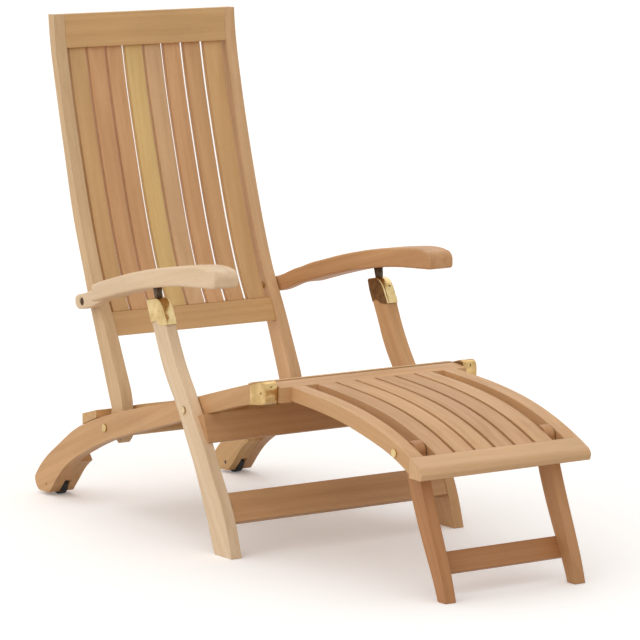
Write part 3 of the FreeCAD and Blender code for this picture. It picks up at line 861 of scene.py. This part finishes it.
def screw_tree(material):
    """Copies of a slotted round head on points with the attributes facing and turn."""
    tree = bpy.data.node_groups.new("slotted_screws", "GeometryNodeTree")
    interface = tree.interface
    interface.new_socket("Points", in_out="INPUT", socket_type="NodeSocketGeometry")
    for name, value in HEAD_SIZES.items():
        socket = interface.new_socket(name, in_out="INPUT", socket_type="NodeSocketFloat")
        socket.default_value = value
    interface.new_socket("Screws", in_out="OUTPUT", socket_type="NodeSocketGeometry")
    given = add(tree, "NodeGroupInput").outputs
    head = slotted_head(tree, *(given[name] for name in HEAD_SIZES))
    facing = add(tree, "GeometryNodeInputNamedAttribute", {"data_type": "FLOAT_VECTOR"},
                 Name="facing")
    turn = add(tree, "GeometryNodeInputNamedAttribute", {"data_type": "FLOAT"}, Name="turn")
    upright = add(tree, "FunctionNodeAlignRotationToVector", {"axis": "Z"}, Vector=facing)
    spin = add(tree, "FunctionNodeAxisAngleToRotation", Axis=(0.0, 0.0, 1.0), Angle=turn)
    aimed = add(tree, "FunctionNodeRotateRotation", {"rotation_space": "LOCAL"},
                Rotation=upright, Rotate_By=spin)
    placed = add(tree, "GeometryNodeInstanceOnPoints", Points=given["Points"], Instance=head,
                 Rotation=aimed)
    real = add(tree, "GeometryNodeRealizeInstances", Geometry=placed)
    coated = add(tree, "GeometryNodeSetMaterial", Geometry=real, Material=material)
    add(tree, "NodeGroupOutput", Screws=coated)
    return tree


screws = screw_tree(SCREW_FINISH)
print("screw tree", len(screws.nodes), "nodes")

# %% [markdown]
# Where the screws sit
#
# A leg cap has one screw in its sloping front. A knee cap has one in its front and one in its
# outer cheek. On the outside of each rear foot a plug closes the end of the wheel's axle. Each is
# given by its place and the direction it faces, on the chair's right; the left is its mirror.

# %% Screws in place
LEG_SCREWS = [((-0.2720, 0.1212, 0.4671), (0.0, -0.75, 0.66))]
KNEE_SCREWS = [((-0.2383, -0.2076, 0.3485), (0.0, -0.96, 0.28)),
               ((-0.2550, -0.1960, 0.3356), (-1.0, 0.0, 0.0))]
AXLE_PLUGS = [((-0.2550, 0.6330, 0.0240), (-1.0, 0.0, 0.0))]
FIRST_TURN = 0.7
NEXT_TURN = 1.9


def both_sides(places):
    """The places of one side and their mirror images."""
    return places + [((-x, y, z), (-a, b, c)) for (x, y, z), (a, b, c) in places]


def screws_at(name, body, places):
    """One mesh of screws for a body, from (place, facing) pairs."""
    cloud = bpy.data.meshes.new(name)
    cloud.from_pydata([place for place, facing in places], [], [])
    cloud.attributes.new("facing", "FLOAT_VECTOR", "POINT")
    cloud.attributes.new("turn", "FLOAT", "POINT")
    for at, (place, facing) in enumerate(places):
        cloud.attributes["facing"].data[at].vector = facing
        cloud.attributes["turn"].data[at].value = FIRST_TURN + NEXT_TURN * at
    piece = linked(name, cloud)
    modifier = piece.modifiers.new("screws", "NODES")
    modifier.node_group = screws
    piece = finished(piece)
    shade(piece.data)
    wear(piece, SCREW_FINISH)
    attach(piece, body)
    print(name, len(places), "screws,", len(piece.data.polygons), "faces")


screws_at("leg_cap_screws", body_of["leg_cap_right"], both_sides(LEG_SCREWS))
screws_at("knee_cap_screws", body_of["knee_cap_right"], both_sides(KNEE_SCREWS))
screws_at("axle_plugs", body_of["side_rail_right"], both_sides(AXLE_PLUGS))

# %% [markdown]
# The floor
#
# The chair stands on a seamless white floor. It is white only where the camera or a mirroring
# surface sees it: what it throws back on the chair is that of a pale grey floor, so that the
# undersides stay darker than the tops. A plain white floor would light the chair from below.

# %% Floor
FLOOR_REACH = 60.0
FLOOR_LEVEL = -0.0005
FLOOR_SEEN = "#fffdfb"
FLOOR_BOUNCE = "#cfc9c3"
FLOOR_LIFT = 0.13
WHITE = (1.0, 1.0, 1.0, 1.0)


def seen_directly(tree):
    """1 for what the camera or a mirroring surface sees, 0 for light thrown back on things."""
    ray = add(tree, "ShaderNodeLightPath").outputs
    return add(tree, "ShaderNodeMath", {"operation": "MAXIMUM"}, _0=ray["Is Camera Ray"],
               _1=ray["Is Glossy Ray"])


def floor_material():
    """Matte white paint, lifted a little so that it meets the white of the room."""
    material, tree = new_material("matte_white_floor")
    seen = seen_directly(tree)
    paint = add(tree, "ShaderNodeMix", {"data_type": "RGBA"}, _0=seen,
                _6=colour(FLOOR_BOUNCE), _7=colour(FLOOR_SEEN)).outputs[2]
    lift = add(tree, "ShaderNodeMath", {"operation": "MULTIPLY"}, _0=seen, _1=FLOOR_LIFT)
    shader = add(tree, "ShaderNodeBsdfPrincipled", Base_Color=paint, Roughness=0.9,
                 Specular_IOR_Level=0.1, Emission_Color=WHITE, Emission_Strength=lift)
    add(tree, "ShaderNodeOutputMaterial", Surface=shader)
    return material


floor_mesh = bpy.data.meshes.new("studio_floor")
corners = [(x * FLOOR_REACH, y * FLOOR_REACH, FLOOR_LEVEL)
           for x, y in ((-1, -1), (1, -1), (1, 1), (-1, 1))]
floor_mesh.from_pydata(corners, [], [(0, 1, 2, 3)])
floor = linked("studio_floor", floor_mesh)
wear(floor, floor_material())
print("floor", floor.name)

# %% [markdown]
# The light
#
# A studio lights furniture softly, from all round. The room is brighter on the chair's right,
# where a wall of soft boxes would stand, and one wide lamp, high behind the sitter's left
# shoulder, draws the pool of shadow towards the front. What the camera and the brass see of the
# room is pure white.

# %% Room and lamp
ROOM_GLOW = 0.84
SIDE_GLOW = 0.55
ROOM_TINT = (1.0, 0.99, 0.975, 1.0)
LAMP_STRENGTH = 0.55
LAMP_WIDTH = math.radians(70)
LAMP_PLACE = Vector((-2.0, 0.5, 3.0))
LAMP_YAW = math.radians(228)
LAMP_PITCH = math.radians(-58)

world = bpy.data.worlds.new("white_room")
world.use_nodes = True
bpy.context.scene.world = world
tree = world.node_tree
tree.nodes.clear()
direction = add(tree, "ShaderNodeTexCoord").outputs["Generated"]
sideways = add(tree, "ShaderNodeSeparateXYZ", Vector=direction)
strength = add(tree, "ShaderNodeMapRange", Value=sideways, From_Min=-1.0, From_Max=1.0,
               To_Min=ROOM_GLOW + SIDE_GLOW, To_Max=ROOM_GLOW - SIDE_GLOW)
glow = add(tree, "ShaderNodeBackground", Color=ROOM_TINT, Strength=strength)
white = add(tree, "ShaderNodeBackground", Color=WHITE, Strength=1.0)
room = add(tree, "ShaderNodeMixShader", Fac=seen_directly(tree), _1=glow, _2=white)
add(tree, "ShaderNodeOutputWorld", Surface=room)

lamp_data = bpy.data.lights.new("soft_lamp", "SUN")
lamp_data.energy = LAMP_STRENGTH
lamp_data.angle = LAMP_WIDTH
lamp = linked("soft_lamp", lamp_data)
lamp.matrix_world = aimed_matrix(LAMP_PLACE, LAMP_YAW, LAMP_PITCH)
bpy.context.scene.view_settings.view_transform = "Standard"
print("lamp", lamp_data.energy)
